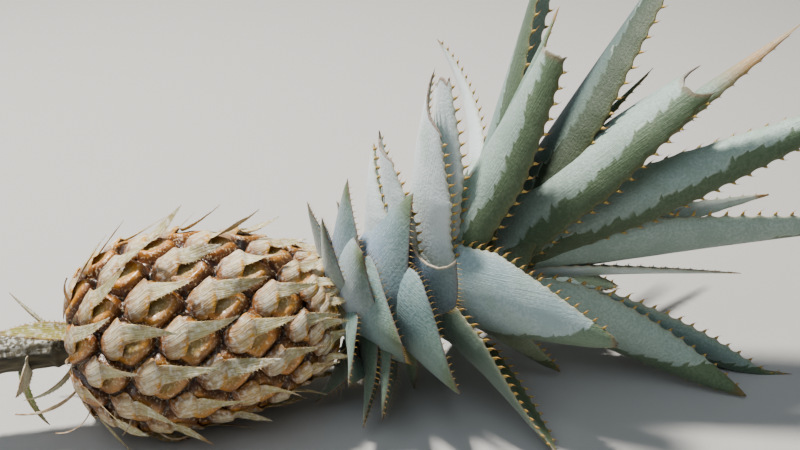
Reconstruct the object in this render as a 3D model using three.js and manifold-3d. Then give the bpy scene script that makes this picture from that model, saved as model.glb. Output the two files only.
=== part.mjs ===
// A wild pineapple cut off with its crown of leaves, lying on level ground.
// Millimetres, +Z up. X runs from the cut stalk to the crown, and the ground is at z = 0.
// Each piece grows from one of two straight axes: that of the fruit and stalk, and that of
// the crown. A turn is measured round an axis in degrees: 0 up, 90 to the front, 180 down.
import * as THREE from 'three';
import { mergeVertices } from 'three/addons/utils/BufferGeometryUtils.js';
import Module from 'manifold-3d';

const wasm = await Module();
wasm.setup();

// Driving sizes
const GAP = 0.3;
const GRID = 0.01;
const FRUIT_LENGTH = 104;
const FRUIT_RADIUS = 39;
const FRUIT_HEIGHT = 38;
const FRUIT_TILT = 2;
const WIDEST_AT = 38;
const FOOT_REACH = 46;
const TOP_REACH = 74.5;
const EYE_ROWS = 10;
const EYE_COLUMNS = 8;
const EYE_SHEAR = 0.54;
const EYE_HEIGHT = 3.5;
const EYE_RADIUS = 8;
const ROW_EASE = 0.35;
const BRACT_REACH = 1;
const BRACT_LIFT = 5.5;
const STALK_LENGTH = 42;
const STALK_RADIUS = 8;
const CROWN_TILT = 14;
const STEM_LENGTH = 72;
const STEM_FOOT_RADIUS = 14;
const STEM_TOP_RADIUS = 5;

// Least thickness of a leaf, and its length divided by its thickness where that gives more
const LEAF_THICKNESS = 1.6;
const LEAF_SLENDERNESS = 80;
const LEAF_TIP_WIDTH = 1.5;
const LEAF_CUP = 150;
const SCALE_CUP = 120;
const BRACT_CUP = 60;
const BROAD = 48;

// Each kind of piece has one colour and finish
const FINISH = {
  stalk: { color: 0x6f6a58, roughness: 0.9 },
  fruit: { color: 0xb5782e, roughness: 0.45 },
  stem: { color: 0xa9b39a, roughness: 0.8 },
  scale: { color: 0x9fb0ac, roughness: 0.75 },
  leaf: { color: 0x93ad9b, roughness: 0.7 },
  bract: { color: 0xb3ab72, roughness: 0.8 },
};

// Leaves that the front view shows, from the fruit outwards: where each leaves the stem (rise),
// its turn, length and width, its lean from the crown's axis at the foot, and how far it bends on.
// A torn one ends at these shares of its length, at its two margins. A third number is how much
// deeper the tear dips between them.
const SCALES = [
  { rise: 1, turn: 344, length: 32, width: 28, lean: 84, bend: 0 },
  { rise: 1, turn: 152, length: 30, width: 32, lean: 120, bend: 26 },
  { rise: 1, turn: 12, length: 35, width: 30, lean: 78, bend: 0 },
  { rise: 2, turn: 106, length: 28, width: 36, lean: 86, bend: 26 },
  { rise: 4, turn: 36, length: 35, width: 52, lean: 68, bend: -8 },
  { rise: 7, turn: 134, length: 40, width: 36, lean: 92, bend: 24 },
  { rise: 3, turn: 352, length: 43, width: 50, lean: 64, bend: -4 },
  { rise: 8, turn: 338, length: 30, width: 36, lean: 60, bend: 28 },
  { rise: 6, turn: 84, length: 38, width: 60, lean: 62, bend: 4 },
  { rise: 13, turn: 126, length: 41, width: 38, lean: 88, bend: 24 },
  { rise: 10, turn: 13, length: 49, width: 56, lean: 43, bend: 0 },
  { rise: 18, turn: 112, length: 50, width: 72, lean: 66, bend: 0 },
  { rise: 20, turn: 168, length: 38, width: 36, lean: 80, bend: 10 },
  { rise: 29, turn: 28, length: 58, width: 64, lean: 62, bend: -6, torn: [0.62, 0.62, 0.26] },
];
const LEAVES = [
  { rise: 20, turn: 336, length: 52, width: 42, lean: 76, bend: -14, twist: -10 },
  { rise: 26, turn: 350, length: 58, width: 46, lean: 70, bend: 10, torn: [1, 0.8] },
  { rise: 32, turn: 132, length: 86, width: 44, lean: 58, bend: 13, twist: 30 },
  { rise: 34, turn: 101, length: 90, width: 58, lean: 41, bend: 0, torn: [0.97, 0.97] },
  { rise: 38, turn: 358, length: 84, width: 50, lean: 76, bend: -14, torn: [1, 0.72] },
  { rise: 42, turn: 11, length: 138, width: 42, lean: 45, bend: 16, torn: [0.74, 0.78] },
  { rise: 40, turn: 166, length: 72, width: 36, lean: 48, bend: 0, twist: -40 },
  { rise: 42, turn: 349, length: 100, width: 44, lean: 64, bend: 12, torn: [0.7, 0.78] },
  { rise: 46, turn: 4, length: 117, width: 16, lean: 48, bend: 8 },
  { rise: 46, turn: 150, length: 142, width: 46, lean: 28, bend: 17, twist: -70 },
  { rise: 56, turn: 304, length: 116, width: 30, lean: 49, bend: 50 },
  { rise: 48, turn: 161, length: 169, width: 46, lean: 26, bend: 18, twist: -50 },
  { rise: 57, turn: 339, length: 166, width: 42, lean: 55, bend: 0, twist: -40 },
  { rise: 60, turn: 16, length: 160, width: 42, lean: 31, bend: -10, torn: [0.77, 0.73] },
  { rise: 56, turn: 152, length: 124, width: 20, lean: 12, bend: 8 },
  { rise: 68, turn: 344, length: 180, width: 48, lean: 40, bend: -2, twist: -10 },
  { rise: 60, turn: 120, length: 190, width: 36, lean: 9, bend: 6 },
  { rise: 70, turn: 20, length: 152, width: 20, lean: 27, bend: 2 },
  { rise: 64, turn: 46, length: 187, width: 29, lean: 14, bend: 6 },
  { rise: 64, turn: 338, length: 110, width: 18, lean: 26, bend: 0 },
  { rise: 68, turn: 90, length: 122, width: 20, lean: 6, bend: 3 },
];

// Far side of the crown, which the front view hides: the same leaves, dealt out by one rule
const FAR = { count: 13, firstTurn: 192, arc: 100, firstRise: 2, lastRise: 62 };

// Reflexed bracts on the stalk: their rise is counted back from the foot of the fruit
const STALK_BRACTS = [
  { rise: -1, turn: 28, length: 30, width: 9, lean: 150, bend: 30 },
  { rise: -20, turn: 98, length: 18, width: 10, lean: 92, bend: 14 },
  { rise: -12, turn: 335, length: 20, width: 6, lean: 132, bend: -8 },
  { rise: -3, turn: 130, length: 24, width: 6, lean: 120, bend: 60 },
  { rise: -25, turn: 166, length: 27, width: 9, lean: 92, bend: -38 },
];

// A straight axis in the upright X-Z plane, with its own up and front directions
function makeAxis(base, tilt) {
  const angle = THREE.MathUtils.degToRad(tilt);
  return {
    base,
    along: new THREE.Vector3(Math.cos(angle), 0, Math.sin(angle)),
    up: new THREE.Vector3(-Math.sin(angle), 0, Math.cos(angle)),
    front: new THREE.Vector3(0, -1, 0),
  };
}

function radial(axis, turn) {
  const angle = THREE.MathUtils.degToRad(turn);
  const direction = axis.up.clone().multiplyScalar(Math.cos(angle));
  return direction.addScaledVector(axis.front, Math.sin(angle));
}

function pointFrom(axis, rise, direction, reach) {
  return axis.base.clone().addScaledVector(axis.along, rise).addScaledVector(direction, reach);
}

const fruitAxis = makeAxis(new THREE.Vector3(0, 0, FRUIT_HEIGHT), FRUIT_TILT);
const fruitTop = pointFrom(fruitAxis, FRUIT_LENGTH, fruitAxis.up, 0);
const crownAxis = makeAxis(fruitTop, CROWN_TILT);

// A closed geometry as a solid for joining and cutting, with its vertices on a fine grid so that
// no sliver is thinner than the grid, and back again
function toSolid(geometry) {
  const positions = geometry.getAttribute('position').array;
  const bare = new THREE.BufferGeometry();
  const snapped = Float32Array.from(positions, (value) => Math.round(value / GRID) * GRID);
  bare.setAttribute('position', new THREE.BufferAttribute(snapped, 3));
  bare.setIndex(geometry.getIndex());
  const merged = mergeVertices(bare, GRID / 10);
  const corners = merged.getIndex().array;
  const triangles = [];
  for (let first = 0; first < corners.length; first += 3) {
    const triangle = Array.from(corners.slice(first, first + 3));
    if (new Set(triangle).size === 3) {
      triangles.push(...triangle);
    }
  }
  const mesh = new wasm.Mesh({
    numProp: 3,
    vertProperties: merged.getAttribute('position').array,
    triVerts: new Uint32Array(triangles),
  });
  return new wasm.Manifold(mesh);
}

function toGeometry(solid) {
  const mesh = solid.getMesh();
  const geometry = new THREE.BufferGeometry();
  geometry.setAttribute('position', new THREE.BufferAttribute(mesh.vertProperties, 3));
  geometry.setIndex(new THREE.BufferAttribute(mesh.triVerts, 1));
  geometry.computeVertexNormals();
  return geometry;
}

// The largest body of a cut piece: loose scraps beyond the cut are dropped
function largestBody(solid) {
  const bodies = solid.decompose();
  return bodies.reduce((best, body) => (body.volume() > best.volume() ? body : best));
}

function withoutAny(solid, cutters) {
  return cutters.reduce((left, cutter) => left.subtract(cutter), solid);
}

// A closed skin through rings of points, with flat ends. Each ring runs anticlockwise about the
// way from the first ring to the last.
function skin(rings) {
  const sides = rings[0].length;
  const positions = rings.flat().flatMap((point) => [point.x, point.y, point.z]);
  const index = [];
  for (let ring = 0; ring + 1 < rings.length; ring += 1) {
    for (let side = 0; side < sides; side += 1) {
      const next = (side + 1) % sides;
      const here = ring * sides;
      const there = here + sides;
      index.push(here + side, there + next, there + side);
      index.push(here + side, here + next, there + next);
    }
  }
  const last = (rings.length - 1) * sides;
  for (let side = 0; side < sides / 2 - 1; side += 1) {
    const across = sides - 1 - side;
    index.push(side, across - 1, side + 1, side, across, across - 1);
    index.push(last + side, last + side + 1, last + across - 1);
    index.push(last + side, last + across - 1, last + across);
  }
  const geometry = new THREE.BufferGeometry();
  geometry.setAttribute('position', new THREE.Float32BufferAttribute(positions, 3));
  geometry.setIndex(index);
  return geometry;
}

// A turned body on an axis, from pairs of rise and radius
function turnedBody(axis, outline, sides) {
  const rings = outline.map(([rise, radius]) => {
    const turns = Array.from({ length: sides }, (_, side) => (360 * side) / sides);
    return turns.map((turn) => pointFrom(axis, rise, radial(axis, turn), radius));
  });
  return toSolid(skin(rings));
}

// Fruit: a plump body whose skin is a lattice of six-sided eyes in spirals, one for each flower.
// An eye rises from its creases to a boss, and a pointed bract rises off the boss to the crown.
function fruitRadius(rise) {
  const toFoot = Math.max(0, WIDEST_AT - rise) / FOOT_REACH;
  const toTop = Math.max(0, rise - WIDEST_AT) / TOP_REACH;
  return FRUIT_RADIUS * Math.sqrt(1 - toFoot ** 2.5 - toTop ** 2);
}

// Rows lie closer together at both ends of the fruit
function rowRise(row) {
  const share = row / EYE_ROWS;
  const eased = 0.5 - 0.5 * Math.cos(Math.PI * THREE.MathUtils.clamp(share, 0, 1));
  return FRUIT_LENGTH * ((1 - ROW_EASE) * share + ROW_EASE * eased);
}

// A point of the skin at a row and column of the lattice, at a height above the bosses, grown
// outwards all round and at both ends
function skinPoint(row, column, height, grow) {
  const rise = rowRise(row);
  const stretch = grow * ((2 * rise) / FRUIT_LENGTH - 1);
  const direction = radial(fruitAxis, (360 * column) / EYE_COLUMNS);
  return pointFrom(fruitAxis, rise + stretch, direction, fruitRadius(rise) + height + grow);
}

// Rings of an eye, from its creases inwards: share of the cell, height
const EYE_RINGS = [[1, -EYE_HEIGHT], [0.72, -0.4], [0.4, 0.4]];

// Corners of an eye in rows and columns. Eyes two rows apart meet at a crease across the fruit.
const EYE_CORNERS = [
  [0, -1 / 3],
  [1, EYE_SHEAR - 2 / 3],
  [1, EYE_SHEAR - 1 / 3],
  [0, 1 / 3],
  [-1, 2 / 3 - EYE_SHEAR],
  [-1, 1 / 3 - EYE_SHEAR],
];

function eyeTriangles(row, column, grow) {
  const wider = grow / EYE_RADIUS;
  const rings = EYE_RINGS.map(([share, height]) => {
    const reach = share < 1 ? share + wider : 1;
    return EYE_CORNERS.map(([ahead, aside]) => {
      const place = THREE.MathUtils.clamp(row + reach * ahead, 0, EYE_ROWS);
      return skinPoint(place, column + reach * aside, height, grow);
    });
  });
  const foot = skinPoint(row, column, BRACT_LIFT / 2, grow);
  const tip = skinPoint(row + BRACT_REACH, column, BRACT_LIFT, grow);
  tip.add(tip.clone().sub(foot).setLength(6 * grow));
  const triangles = [];
  EYE_CORNERS.forEach((_, corner) => {
    const next = (corner + 1) % EYE_CORNERS.length;
    for (let ring = 0; ring + 1 < rings.length; ring += 1) {
      const [outer, inner] = [rings[ring], rings[ring + 1]];
      triangles.push(outer[corner], inner[next], outer[next]);
      triangles.push(outer[corner], inner[corner], inner[next]);
    }
    const last = rings[rings.length - 1];
    triangles.push(last[corner], tip, last[next]);
  });
  return triangles;
}

// An end of the fruit: its rim follows the outer corners of the last row of eyes
function fruitEnd(row, foot, grow) {
  const end = foot ? -1 : 1;
  const centre = pointFrom(fruitAxis, (foot ? 0 : FRUIT_LENGTH) + end * grow, fruitAxis.up, 0);
  const triangles = [];
  for (let number = 0; number < EYE_COLUMNS; number += 1) {
    const column = number + row * EYE_SHEAR;
    const next = [EYE_CORNERS[0][0], EYE_CORNERS[0][1] + 1];
    const rim = [...EYE_CORNERS.slice(0, 4), next].map(([ahead, aside]) => {
      const place = THREE.MathUtils.clamp(row + end * ahead, 0, EYE_ROWS);
      return skinPoint(place, column + end * aside, -EYE_HEIGHT, grow);
    });
    for (let point = 0; point + 1 < rim.length; point += 1) {
      triangles.push(centre, rim[point], rim[point + 1]);
    }
  }
  return triangles;
}

function fruitSolid(grow) {
  const triangles = [...fruitEnd(0.5, true, grow), ...fruitEnd(EYE_ROWS - 0.5, false, grow)];
  for (let row = 0.5; row < EYE_ROWS; row += 1) {
    for (let number = 0; number < EYE_COLUMNS; number += 1) {
      triangles.push(...eyeTriangles(row, number + row * EYE_SHEAR, grow));
    }
  }
  const positions = triangles.flatMap((point) => [point.x, point.y, point.z]);
  const geometry = new THREE.BufferGeometry();
  geometry.setAttribute('position', new THREE.Float32BufferAttribute(positions, 3));
  return toSolid(geometry);
}

// Width of a blade at a share of its length: a scale is a pointed oval, a leaf is a strap that
// narrows to its foot as well
function bladeWidth(blade, share) {
  const left = Math.max(0, 1 - share);
  if (blade.kind === 'scale') {
    const swell = 0.85 + 0.15 * Math.sin((Math.PI / 2) * Math.min(share / 0.3, 1));
    const taper = Math.min(1, left / 0.75);
    return blade.width * swell * Math.sin((Math.PI / 2) * taper) * (0.75 + 0.25 * taper);
  }
  const foot = 0.6 + 0.4 * Math.sin((Math.PI / 2) * Math.min(share / 0.25, 1));
  return blade.width * foot * Math.min(1, left / 0.6) ** 0.8;
}

function bladeThickness(blade) {
  return Math.max(LEAF_THICKNESS, blade.length / LEAF_SLENDERNESS);
}

// A point of a blade's middle surface, and the way out of it there. The midrib is an arc in the
// plane of its axis and turn; across it the blade is a channel that opens towards the axis.
function bladePlace(blade, share, side, grow) {
  const { axis } = blade;
  const outwards = radial(axis, blade.turn);
  const lean = THREE.MathUtils.degToRad(blade.lean);
  const bend = THREE.MathUtils.degToRad(blade.bend || 0.01);
  const angle = lean + bend * share;
  const scale = blade.length / bend;
  const rib = pointFrom(axis, blade.rise, outwards, blade.foot)
    .addScaledVector(axis.along, scale * (Math.sin(angle) - Math.sin(lean)))
    .addScaledVector(outwards, scale * (Math.cos(lean) - Math.cos(angle)));
  const back = axis.along.clone().multiplyScalar(-Math.sin(angle)).addScaledVector(outwards, Math.cos(angle));
  const across = new THREE.Vector3().crossVectors(axis.along, outwards);
  const heading = new THREE.Vector3().crossVectors(back, across);
  const twist = THREE.MathUtils.degToRad((blade.twist || 0) * share);
  back.applyAxisAngle(heading, twist);
  across.applyAxisAngle(heading, twist);

  const width = Math.max(bladeWidth(blade, share), LEAF_TIP_WIDTH) + 2 * grow;
  const thickness = bladeThickness(blade) + 2 * grow;
  const fullCup = THREE.MathUtils.degToRad(blade.cup * (1 - 0.45 * share));
  const cup = Math.min(fullCup, width / (1.6 * thickness));
  const radius = width / cup;
  const slant = (side * cup) / 2;
  const point = rib.addScaledVector(back, -radius * (1 - Math.cos(slant)))
    .addScaledVector(across, radius * Math.sin(slant));
  const out = back.multiplyScalar(Math.cos(slant)).addScaledVector(across, Math.sin(slant));
  return { point, out };
}

function bladeSolid(blade, grow) {
  const half = bladeThickness(blade) / 2 + grow;
  const sides = blade.width > BROAD ? [-1, -0.4, 0.4, 1] : [-1, 0, 1];
  const [left, right, dip = 0] = blade.torn || [1, 1];
  const slack = grow / blade.length;
  const rings = [];
  for (let row = 0; row <= blade.rows; row += 1) {
    const places = sides.map((side) => {
      const end = left + ((right - left) * (side + 1)) / 2 - dip * (1 - side ** 2);
      const share = -slack + ((end + 2 * slack) * row) / blade.rows;
      return bladePlace(blade, Math.min(share, 1 + slack), side, grow);
    });
    const backs = places.map(({ point, out }) => point.clone().addScaledVector(out, half));
    const fronts = places.map(({ point, out }) => point.clone().addScaledVector(out, -half));
    rings.push([...backs, ...fronts.reverse()]);
  }
  return toSolid(skin(rings));
}

function stemRadius(rise) {
  const share = Math.min(Math.max(rise, 0), STEM_LENGTH) / STEM_LENGTH;
  return STEM_FOOT_RADIUS + (STEM_TOP_RADIUS - STEM_FOOT_RADIUS) * share;
}

// Far-side leaves: short, broad and spread near the fruit, longer and steeper up the stem
function farBlades() {
  return Array.from({ length: FAR.count }, (_, number) => {
    const share = number / (FAR.count - 1);
    const spread = (number * 0.618) % 1;
    return {
      kind: share < 0.45 ? 'scale' : 'leaf',
      rise: FAR.firstRise + (FAR.lastRise - FAR.firstRise) * share,
      turn: FAR.firstTurn + FAR.arc * spread,
      length: 36 + 100 * share ** 1.6,
      width: 34 + 8 * Math.sin(Math.PI * share) - 4 * share,
      lean: 80 - 54 * share,
      bend: 24 - 20 * share,
    };
  });
}

function crownBlade(blade, kind) {
  return {
    axis: crownAxis,
    foot: stemRadius(blade.rise) + bladeThickness(blade) / 2 + GAP,
    cup: kind === 'scale' ? SCALE_CUP : LEAF_CUP,
    kind,
    rows: kind === 'scale' ? 5 : 7,
    ...blade,
  };
}

function stalkBract(blade) {
  const slant = Math.abs(Math.cos(THREE.MathUtils.degToRad(blade.lean)));
  return {
    axis: fruitAxis,
    foot: STALK_RADIUS + GAP + (slant * LEAF_THICKNESS) / 2,
    cup: BRACT_CUP,
    kind: 'leaf',
    rows: 4,
    ...blade,
  };
}

const group = new THREE.Group();

function addPiece(name, solid, finish) {
  const mesh = new THREE.Mesh(toGeometry(solid), new THREE.MeshStandardMaterial(finish));
  mesh.name = name;
  group.add(mesh);
}

// Each piece is cut clear of the ground and of those placed before it
const groundSize = 1000;
const groundBlock = new THREE.BoxGeometry(groundSize, groundSize, groundSize);
groundBlock.translate(0, 0, -groundSize / 2);
const cutters = [toSolid(groundBlock)];

function place(name, make, finish) {
  const cut = withoutAny(make(0), cutters);
  addPiece(name, largestBody(toSolid(toGeometry(cut))), finish);
  cutters.push(make(GAP));
}

place('fruit', fruitSolid, FINISH.fruit);

const stalkOutline = [[-STALK_LENGTH, STALK_RADIUS], [-6, STALK_RADIUS], [4, STALK_RADIUS + 1]];
place('stalk', (grow) => turnedBody(
  fruitAxis,
  stalkOutline.map(([rise, radius]) => [rise, radius + grow]),
  16,
), FINISH.stalk);

const stemOutline = [[-6, STEM_FOOT_RADIUS], [0, STEM_FOOT_RADIUS], [STEM_LENGTH, STEM_TOP_RADIUS]];
place('crown_stem', (grow) => turnedBody(
  crownAxis,
  stemOutline.map(([rise, radius]) => [rise, radius + grow]),
  14,
), FINISH.stem);

function placeBlades(prefix, blades, finish) {
  blades.forEach((blade, number) => {
    const name = `${prefix}_${String(number + 1).padStart(2, '0')}`;
    place(name, (grow) => bladeSolid(blade, grow), finish);
  });
}

placeBlades('crown_scale', SCALES.map((blade) => crownBlade(blade, 'scale')), FINISH.scale);
placeBlades('crown_leaf', LEAVES.map((blade) => crownBlade(blade, 'leaf')), FINISH.leaf);
placeBlades('far_leaf', farBlades().map((blade) => crownBlade(blade, blade.kind)), FINISH.leaf);
placeBlades('stalk_bract', STALK_BRACTS.map(stalkBract), FINISH.bract);

// The origin is below the middle of the whole piece, on the ground
const box = new THREE.Box3().setFromObject(group);
const middle = box.getCenter(new THREE.Vector3());
group.position.set(-middle.x, -middle.y, -box.min.z).divideScalar(GRID).round().multiplyScalar(GRID);

export default group;
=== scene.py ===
import math
import random

import bmesh
import bpy
from mathutils import Matrix, Vector, noise


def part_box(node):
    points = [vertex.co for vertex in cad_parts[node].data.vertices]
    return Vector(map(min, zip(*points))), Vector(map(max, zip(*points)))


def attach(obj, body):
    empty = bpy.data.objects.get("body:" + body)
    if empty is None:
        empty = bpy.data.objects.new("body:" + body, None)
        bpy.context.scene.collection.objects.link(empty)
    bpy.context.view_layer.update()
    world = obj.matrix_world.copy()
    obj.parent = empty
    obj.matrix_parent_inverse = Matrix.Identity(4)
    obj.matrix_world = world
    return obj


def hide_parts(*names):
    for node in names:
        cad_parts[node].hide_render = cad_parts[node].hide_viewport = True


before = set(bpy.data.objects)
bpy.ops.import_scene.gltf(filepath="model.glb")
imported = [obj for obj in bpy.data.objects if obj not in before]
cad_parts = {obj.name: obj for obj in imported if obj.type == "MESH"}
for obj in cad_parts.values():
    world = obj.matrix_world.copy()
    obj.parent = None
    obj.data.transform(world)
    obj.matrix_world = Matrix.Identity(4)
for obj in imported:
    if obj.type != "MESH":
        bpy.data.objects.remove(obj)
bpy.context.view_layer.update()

# Camera: it looks down on the lying fruit from its front, turned a little to the stalk's side.
# Sizes are in millimetres and degrees. The foot of the fruit's axis is found from the stalk's
# solid, whose flat cut lies one stalk length before it.
MM = 0.001
FRUIT_TILT = 2
FRUIT_HEIGHT = 38
STALK_LENGTH = 42
STALK_RADIUS = 8
LENS, SENSOR = 45, 36
CAMERA_TURN, CAMERA_RISE = math.radians(-12), math.radians(28)
CAMERA_AIM = Vector((134, 0, 78))
CAMERA_DISTANCE = 415
CAMERA_CLIP = 10

stalk_low, stalk_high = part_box("stalk")
slant = math.radians(FRUIT_TILT)
plant_foot = Vector((
    stalk_low.x + (STALK_LENGTH * math.cos(slant) + STALK_RADIUS * math.sin(slant)) * MM,
    (stalk_low.y + stalk_high.y) / 2,
    0,
))
towards_camera = Vector((
    math.sin(CAMERA_TURN) * math.cos(CAMERA_RISE),
    -math.cos(CAMERA_TURN) * math.cos(CAMERA_RISE),
    math.sin(CAMERA_RISE),
))
camera = bpy.data.objects.new("camera", bpy.data.cameras.new("camera"))
camera.data.lens = LENS
camera.data.sensor_width = SENSOR
camera.data.clip_start = CAMERA_CLIP * MM
camera.location = plant_foot + (CAMERA_AIM + towards_camera * CAMERA_DISTANCE) * MM
camera.rotation_mode = "QUATERNION"
camera.rotation_quaternion = towards_camera.to_track_quat("Z", "Y")
bpy.context.scene.collection.objects.link(camera)
bpy.context.scene.camera = camera

# Stalk: the stub of the fruiting stalk, woody and ridged, grey-brown with pale scurf on top.
# It is a tube with low ridges and leaf rings, closed by the flat pale cut at its left end.
STALK_AROUND, STALK_ALONG = 96, 90
STALK_TOP = 3
STALK_RIDGES = 11
RIDGE_HEIGHT, RIDGE_DRIFT = 0.22, 12
LEAF_RINGS = (-34, -20, -9)
RING_HEIGHT, RING_WIDTH = 0.7, 1.2
FLARE_HEIGHT, FLARE_START, FLARE_LENGTH = 1.6, 6, 8
CUT_RINGS = 6
BARK_RELIEF, CUT_ROUGHNESS = 0.5, 0.25
BARK_TINT = (0.07, 0.058, 0.035)
BARK_SCURF = (0.5, 0.5, 0.46, 1)
FLESH_TINT = (0.62, 0.55, 0.38)
UNDER_BARK_TINT = (0.42, 0.3, 0.15)
FRONT = Vector((0, -1, 0))


def make_axis(base, tilt):
    angle = math.radians(tilt)
    return {
        "base": base,
        "along": Vector((math.cos(angle), 0, math.sin(angle))),
        "up": Vector((-math.sin(angle), 0, math.cos(angle))),
    }


def radial(axis, turn):
    angle = math.radians(turn)
    return axis["up"] * math.cos(angle) + FRONT * math.sin(angle)


def point_from(axis, rise, direction, reach):
    return axis["base"] + (axis["along"] * rise + direction * reach) * MM


def clamp(value, low=0.0, high=1.0):
    return max(low, min(high, value))


def ease(value):
    share = clamp(value)
    return share * share * (3 - 2 * share)


def mix(first, second, share):
    return tuple(a + (b - a) * share for a, b in zip(first, second))


def wobble(point, size, seed=0.0):
    return noise.noise(point / (size * MM) + Vector((seed, 3.1 * seed, 0)))


def start_mesh():
    mesh = bmesh.new()
    mesh.verts.layers.float_color.new("tint")
    mesh.verts.layers.float_vector.new("pattern")
    return mesh


def roll_grid(mesh, around, along, place):
    tint = mesh.verts.layers.float_color["tint"]
    pattern = mesh.verts.layers.float_vector["pattern"]
    grid = bmesh.ops.create_grid(mesh, x_segments=around, y_segments=along, size=1)
    for vertex in grid["verts"]:
        column = round((vertex.co.x + 1) / 2 * around)
        row = round((vertex.co.y + 1) / 2 * along)
        vertex.co, colour, vertex[pattern] = place(column, row)
        vertex[tint] = (*colour[:3], colour[3] if len(colour) > 3 else 0)
    bmesh.ops.remove_doubles(mesh, verts=grid["verts"], dist=1e-6)


def finish_mesh(mesh, name, material):
    bmesh.ops.recalc_face_normals(mesh, faces=mesh.faces)
    data = bpy.data.meshes.new(name)
    mesh.to_mesh(data)
    mesh.free()
    data.shade_smooth()
    data.materials.append(material)
    piece = bpy.data.objects.new(name, data)
    bpy.context.scene.collection.objects.link(piece)
    return piece


def start_material(name, roughness, **constants):
    material = bpy.data.materials.new(name)
    material.use_nodes = True
    shader = material.node_tree.nodes["Principled BSDF"]
    shader.inputs["Roughness"].default_value = roughness
    for socket, value in constants.items():
        shader.inputs[socket.replace("_", " ")].default_value = value
    return material, material.node_tree, shader


def add_node(tree, kind, inputs, **settings):
    made = tree.nodes.new("ShaderNode" + kind)
    for name, value in settings.items():
        setattr(made, name, value)
    for name, value in inputs.items():
        if isinstance(value, bpy.types.NodeSocket):
            tree.links.new(value, made.inputs[name])
        else:
            made.inputs[name].default_value = value
    return made


def read_attribute(tree, name):
    return add_node(tree, "Attribute", {}, attribute_name=name)


def grain(tree, scale, detail, stretch=(1, 1, 1)):
    place = add_node(tree, "TexCoord", {}).outputs["Object"]
    mapped = add_node(tree, "Mapping", {"Vector": place, "Scale": stretch}).outputs["Vector"]
    inputs = {"Vector": mapped, "Scale": scale, "Detail": detail}
    return add_node(tree, "TexNoise", inputs).outputs["Fac"]


def ramp(tree, value, low, high, start=0.0, end=1.0):
    inputs = {"Value": value, "From Min": low, "From Max": high, "To Min": start, "To Max": end}
    return add_node(tree, "MapRange", inputs).outputs["Result"]


def calculate(tree, how, first, second=0.0):
    return add_node(tree, "Math", {0: first, 1: second}, operation=how).outputs["Value"]


def tinted(tree, factor, first, second, how="MIX"):
    inputs = {"Factor": factor, 6: first, 7: second}
    return add_node(tree, "Mix", inputs, data_type="RGBA", blend_type=how).outputs[2]


def add_relief(tree, shader, height, depth):
    bump = add_node(tree, "Bump", {"Height": height, "Distance": depth * MM})
    tree.links.new(bump.outputs["Normal"], shader.inputs["Normal"])


def up_facing(tree, low, high):
    normal = add_node(tree, "NewGeometry", {}).outputs["Normal"]
    height = add_node(tree, "SeparateXYZ", {"Vector": normal}).outputs["Z"]
    return ramp(tree, height, low, high)


fruit_axis = make_axis(plant_foot + Vector((0, 0, FRUIT_HEIGHT * MM)), FRUIT_TILT)


def stalk_point(column, row):
    turn = 360 * column / STALK_AROUND
    if row <= CUT_RINGS:
        rise, share = -STALK_LENGTH, row / CUT_RINGS
    else:
        rise = -STALK_LENGTH + (STALK_TOP + STALK_LENGTH) * (row - CUT_RINGS) / (STALK_ALONG - CUT_RINGS)
        share = 1
    direction = radial(fruit_axis, turn)
    at = point_from(fruit_axis, rise, direction, STALK_RADIUS)
    drift = RIDGE_DRIFT * wobble(at, 30)
    ridge = math.sin(math.radians(STALK_RIDGES * (turn + drift))) * RIDGE_HEIGHT
    ring = sum(math.exp(-((rise - place) / RING_WIDTH) ** 2) for place in LEAF_RINGS)
    flare = FLARE_HEIGHT * ease((rise + FLARE_START) / FLARE_LENGTH)
    radius = STALK_RADIUS - BARK_RELIEF + ridge * (1 - 0.5 * ring) + RING_HEIGHT * ring + flare
    radius += BARK_RELIEF * wobble(at, 5)
    if row <= CUT_RINGS:
        rough = CUT_ROUGHNESS * wobble(at * 1.7, 2)
        pith = mix(FLESH_TINT, UNDER_BARK_TINT, ease((share - 0.7) / 0.2))
        colour = mix(pith, BARK_TINT, ease((share - 0.9) / 0.1))
        return point_from(fruit_axis, rise + rough * share, direction, radius * share), colour, at
    return point_from(fruit_axis, rise, direction, radius), BARK_TINT, at


stalk_mesh = start_mesh()
roll_grid(stalk_mesh, STALK_AROUND, STALK_ALONG, stalk_point)

bark, tree, shader = start_material("stalk_bark", 0.85)
colour = read_attribute(tree, "tint").outputs["Color"]
fibres = grain(tree, 420, 5, (0.3, 1, 1))
bright = ramp(tree, fibres, 0.3, 0.7, 0.45, 1.7)
dull = ramp(tree, fibres, 0.3, 0.7, 0.5, 1.6)
strands = add_node(tree, "CombineColor", {"Red": bright, "Green": bright, "Blue": dull})
colour = tinted(tree, 1, colour, strands.outputs["Color"], "MULTIPLY")
crust = ramp(tree, grain(tree, 620, 5), 0.46, 0.58)
scurf = calculate(tree, "MULTIPLY", up_facing(tree, 0.3, 0.95), crust)
colour = tinted(tree, calculate(tree, "MULTIPLY", scurf, 0.85), colour, BARK_SCURF)
tree.links.new(colour, shader.inputs["Base Color"])
add_relief(tree, shader, fibres, 0.8)

stalk_bark = finish_mesh(stalk_mesh, "stalk_bark", bark)
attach(stalk_bark, "root")
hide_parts("stalk")

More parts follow.
